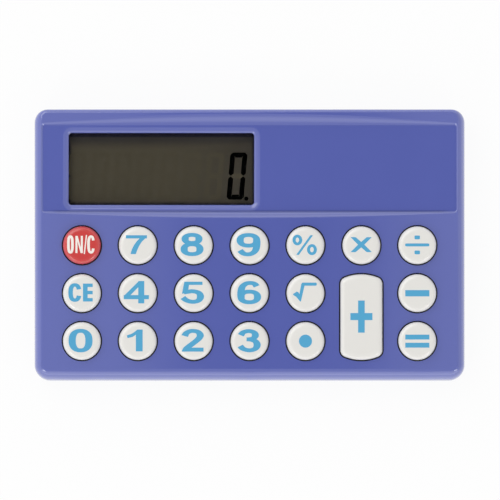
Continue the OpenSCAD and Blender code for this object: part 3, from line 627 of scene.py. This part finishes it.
def display():
    """Eight digits on the polariser: the last shows a nought and its point, the rest show faintly."""
    x, y = LAST_DIGIT
    shown = digit(x, y, "abcdef")
    shown.append(oval(x + POINT_PLACE[0], y + POINT_PLACE[1], POINT_R, POINT_R))
    ghosts = digit(x, y, "g")
    for i in range(1, DIGIT_COUNT):
        ghosts += digit(x - i * DIGIT_PITCH, y, "abcdefg")
    z = box_of("lcd_front_polariser")[1].z + LIFT
    layers = {"lcd_ghost_segments": (ghosts, "lcd_ghost"), "lcd_segments": (shown, "lcd_dark")}
    for name, (outlines, ink) in layers.items():
        piece = plate(name, outlines, (0, 0), z, PRINTS[ink])
        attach(piece, "case")


display()


# ---- Stage ----

FLOOR_SIZE = 4
FLOOR_COLOUR = (0.94, 0.94, 0.94, 1)
PLAIN_SHARE = 0.93      # how much of the floor's look is plain white, which shows no shadow


def floor():
    """White floor: partly lit, to keep its shadow, partly plain white to the camera, mirrors and glass."""
    bpy.ops.mesh.primitive_plane_add(size=FLOOR_SIZE, location=(0, 0, 0))
    plane = bpy.context.object
    plane.name = "floor"
    material, tree, shader = new_material("floor_white")
    shader.inputs["Base Color"].default_value = FLOOR_COLOUR
    shader.inputs["Roughness"].default_value = 0.9
    rays = tree.nodes.new("ShaderNodeLightPath").outputs
    seen = largest(tree, [rays["Is Camera Ray"], rays["Is Glossy Ray"], rays["Is Transmission Ray"]])
    plain = tree.nodes.new("ShaderNodeEmission")
    mix = tree.nodes.new("ShaderNodeMixShader")
    tree.links.new(maths(tree, "MULTIPLY", seen, PLAIN_SHARE), mix.inputs["Fac"])
    tree.links.new(shader.outputs["BSDF"], mix.inputs[1])
    tree.links.new(plain.outputs["Emission"], mix.inputs[2])
    tree.links.new(mix.outputs["Shader"], tree.nodes["Material Output"].inputs["Surface"])
    plane.data.materials.append(material)


CASE_PX, FRAME_PX = 430, 500           # width of the case and of the picture, in pixels
OFF_X_PX, OFF_Y_PX = 0.43, -4.78       # from the middle of the case to the middle of the picture
WIDEST_Z = 5 * MM                      # height at which the case is that wide
CAMERA_UP = 3.0                        # from there to the camera: so far that its sides hardly show
SENSOR_MM = 36


def camera():
    """Straight above, a long way up, and a little off the middle."""
    low, high = box_of("top_case")
    pixel = (high.x - low.x) / CASE_PX
    data = bpy.data.cameras.new("camera")
    data.sensor_width = SENSOR_MM
    data.lens = SENSOR_MM * CAMERA_UP / (FRAME_PX * pixel)
    data.clip_end = 20
    cam = bpy.data.objects.new("camera", data)
    cam.location = (OFF_X_PX * pixel, OFF_Y_PX * pixel, WIDEST_Z + CAMERA_UP)
    bpy.context.collection.objects.link(cam)
    bpy.context.scene.camera = cam


def area_light(name, place, size, power):
    """A square lamp that faces the middle of the frame."""
    data = bpy.data.lights.new(name, "AREA")
    data.size = size
    data.energy = power
    light = bpy.data.objects.new(name, data)
    light.location = place
    light.rotation_euler = (-Vector(place)).to_track_quat("-Z", "Y").to_euler()
    bpy.context.collection.objects.link(light)


# The light tent. Its directions are those of points on a unit sphere round the object.
SIDE_LIGHT = (0.88, 0.74)      # of the left and right walls
FRONT_LIGHT = (1.6, 1.15)      # of the front wall, low down and further up
REAR_LIGHT = (0.65, 1.25)      # of the rear wall, low down and further up
ROOF_LIGHT, LENS_LIGHT = 0.46, 0.0
SIDE_BAND = (-0.3, 0.3)        # from left to right, over which the left wall gives way to the right one
FRONT_BAND, REAR_BAND = (0.0, 0.4), (0.08, 0.25)      # heights over which those walls change
WALL_TOP, REAR_TOP = (0.5, 0.86), (0.35, 0.7)         # heights over which walls give way to the roof
FRONT_END, REAR_END = (-0.8, -0.5), (0.5, 0.8)        # depths over which they give way to the sides
LENS_HOLE = (0.033, 0.058)     # radii of the dark hole for the lens and of its soft rim
LENS_RIGHT = 0.009             # how far that hole lies to the right


def world():
    """A light tent of four walls and a dimmer roof, with a dark hole for the lens."""
    tent = bpy.data.worlds.new("world")
    tent.use_nodes = True
    tree = tent.node_tree
    direction = tree.nodes.new("ShaderNodeTexCoord").outputs["Generated"]
    across, deep, up = axes(tree, direction)
    sides = blend(tree, across, SIDE_BAND, *SIDE_LIGHT)
    front = blend(tree, up, FRONT_BAND, *FRONT_LIGHT)
    rear = blend(tree, up, REAR_BAND, *REAR_LIGHT)
    walls = blend(tree, deep, FRONT_END, front, sides)
    light = blend(tree, up, WALL_TOP, walls, ROOF_LIGHT)
    rear = blend(tree, up, REAR_TOP, rear, ROOF_LIGHT)
    light = blend(tree, deep, REAR_END, light, rear)
    from_lens = tree.nodes.new("ShaderNodeVectorMath")
    from_lens.operation = "DISTANCE"
    from_lens.inputs[1].default_value = Vector((LENS_RIGHT, 0, 1)).normalized()
    tree.links.new(direction, from_lens.inputs[0])
    light = blend(tree, from_lens.outputs["Value"], LENS_HOLE, LENS_LIGHT, light)
    background = tree.nodes["Background"]
    tree.links.new(light, background.inputs["Strength"])
    background.inputs["Color"].default_value = (1, 1, 1, 1)
    bpy.context.scene.world = tent


floor()
camera()
world()
area_light("key_light", place=(-0.45, 0.5, 0.65), size=0.8, power=2.5)
for side, x in (("left", -0.486), ("right", 0.486)):
    area_light("corner_light_" + side, place=(x, -0.634, 0.6), size=0.3, power=0.7)
bpy.context.scene.view_settings.view_transform = "Standard"
